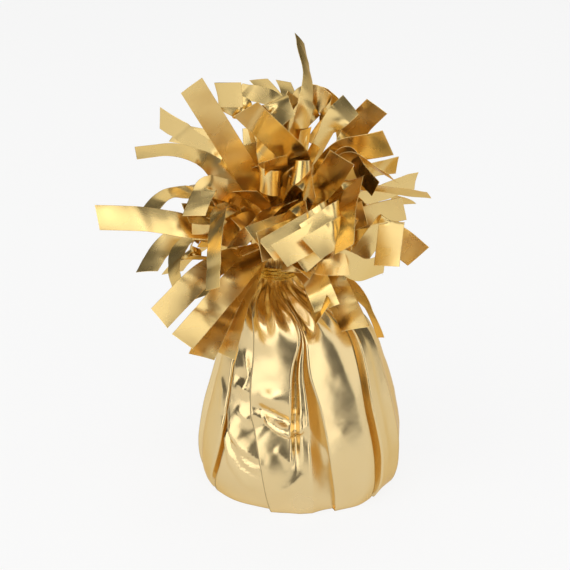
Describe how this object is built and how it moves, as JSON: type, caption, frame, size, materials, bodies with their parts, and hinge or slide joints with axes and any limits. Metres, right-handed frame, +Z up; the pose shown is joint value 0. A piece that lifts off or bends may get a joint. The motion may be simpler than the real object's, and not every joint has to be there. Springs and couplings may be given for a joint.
{
  "type": "balloon weight",
  "caption": "Table weight for balloons: a cast core in pleated gold film, gathered and tied at the neck under a full fringe of cut film strips.",
  "frame": {"origin": "centre of the base, on the surface it stands on", "axes": "+Z up through the neck, -Y towards the pictured side, +X to that side's right"},
  "size_m": [0.0942, 0.104, 0.1332],
  "materials": {
    "core": "rough cast",
    "film": "metallised, satin gloss",
    "thread": "tinsel"
  },
  "bodies": {
    "weight": {"weight_core": "core", "film_wrap": "film", "neck_gather": "film", "neck_tie": "thread", "tie_knot": "thread", "fringe_between": "film", "fringe_strip_02": "film", "fringe_strip_03": "film", "fringe_strip_06": "film", "fringe_strip_07": "film", "fringe_strip_08": "film", "fringe_strip_09": "film", "fringe_strip_11": "film", "fringe_strip_12": "film", "fringe_strip_13": "film", "fringe_strip_14": "film", "fringe_strip_15": "film", "fringe_strip_16": "film", "fringe_strip_17": "film", "fringe_strip_18": "film", "fringe_strip_20": "film", "fringe_strip_21": "film", "fringe_strip_22": "film", "fringe_strip_23": "film", "fringe_strip_24": "film", "fringe_strip_25": "film", "fringe_strip_26": "film", "fringe_strip_27": "film", "fringe_strip_28": "film", "fringe_strip_29": "film", "fringe_strip_30": "film", "fringe_strip_31": "film", "fringe_strip_34": "film", "fringe_strip_35": "film", "fringe_strip_36": "film", "fringe_strip_37": "film", "fringe_strip_39": "film", "fringe_strip_40": "film", "fringe_strip_41": "film", "fringe_strip_42": "film", "fringe_strip_43": "film", "fringe_strip_45": "film", "fringe_strip_46": "film", "fringe_strip_47": "film", "fringe_strip_48": "film", "fringe_strip_49": "film", "fringe_strip_50": "film", "fringe_strip_51": "film", "fringe_strip_52": "film", "fringe_strip_53": "film", "fringe_strip_54": "film"},
    "strip_01": {"fringe_strip_01": "film"},
    "strip_04": {"fringe_strip_04": "film"},
    "strip_05": {"fringe_strip_05": "film"},
    "strip_10": {"fringe_strip_10": "film"},
    "strip_19": {"fringe_strip_19": "film"},
    "strip_32": {"fringe_strip_32": "film"},
    "strip_33": {"fringe_strip_33": "film"},
    "strip_38": {"fringe_strip_38": "film"},
    "strip_44": {"fringe_strip_44": "film"}
  },
  "joints": [
    {"name": "strip_01_flex", "type": "hinge", "parent": "weight", "child": "strip_01", "pos_m": [-0.01005, -0.00263, 0.08583], "axis": [0.813, 0.3253, 0.483], "range_deg": [-10, 8], "stiffness_Nm_per_rad": 0.002},
    {"name": "strip_04_flex", "type": "hinge", "parent": "weight", "child": "strip_04", "pos_m": [-0.01081, 0.00533, 0.08283], "axis": [-0.8413, -0.5291, -0.1111], "range_deg": [-8, 12], "stiffness_Nm_per_rad": 0.002},
    {"name": "strip_05_flex", "type": "hinge", "parent": "weight", "child": "strip_05", "pos_m": [-0.01263, 0.00092, 0.08403], "axis": [-0.6297, -0.5645, -0.5337], "range_deg": [-12, 12], "stiffness_Nm_per_rad": 0.002},
    {"name": "strip_10_flex", "type": "hinge", "parent": "weight", "child": "strip_10", "pos_m": [-0.00523, 0.00025, 0.08714], "axis": [-0.9799, 0.0726, 0.1859], "range_deg": [-5, 8], "stiffness_Nm_per_rad": 0.002},
    {"name": "strip_19_flex", "type": "hinge", "parent": "weight", "child": "strip_19", "pos_m": [0.00087, 0.00205, 0.07951], "axis": [0.2156, 0.3431, -0.9142], "range_deg": [-5, 12], "stiffness_Nm_per_rad": 0.002},
    {"name": "strip_32_flex", "type": "hinge", "parent": "weight", "child": "strip_32", "pos_m": [-0.0141, 0.00142, 0.08115], "axis": [-0.2437, -0.9638, -0.1086], "range_deg": [-12, 12], "stiffness_Nm_per_rad": 0.002},
    {"name": "strip_33_flex", "type": "hinge", "parent": "weight", "child": "strip_33", "pos_m": [-0.01417, -0.00359, 0.07817], "axis": [0.4288, -0.9019, -0.0514], "range_deg": [-12, 5], "stiffness_Nm_per_rad": 0.002},
    {"name": "strip_38_flex", "type": "hinge", "parent": "weight", "child": "strip_38", "pos_m": [-0.00952, -0.00789, 0.0758], "axis": [0.9455, -0.3252, -0.0174], "range_deg": [-5, 8], "stiffness_Nm_per_rad": 0.002},
    {"name": "strip_44_flex", "type": "hinge", "parent": "weight", "child": "strip_44", "pos_m": [0.00011, -0.00308, 0.0712], "axis": [-0.3014, 0.343, -0.8897], "range_deg": [-10, 10], "stiffness_Nm_per_rad": 0.002}
  ]
}
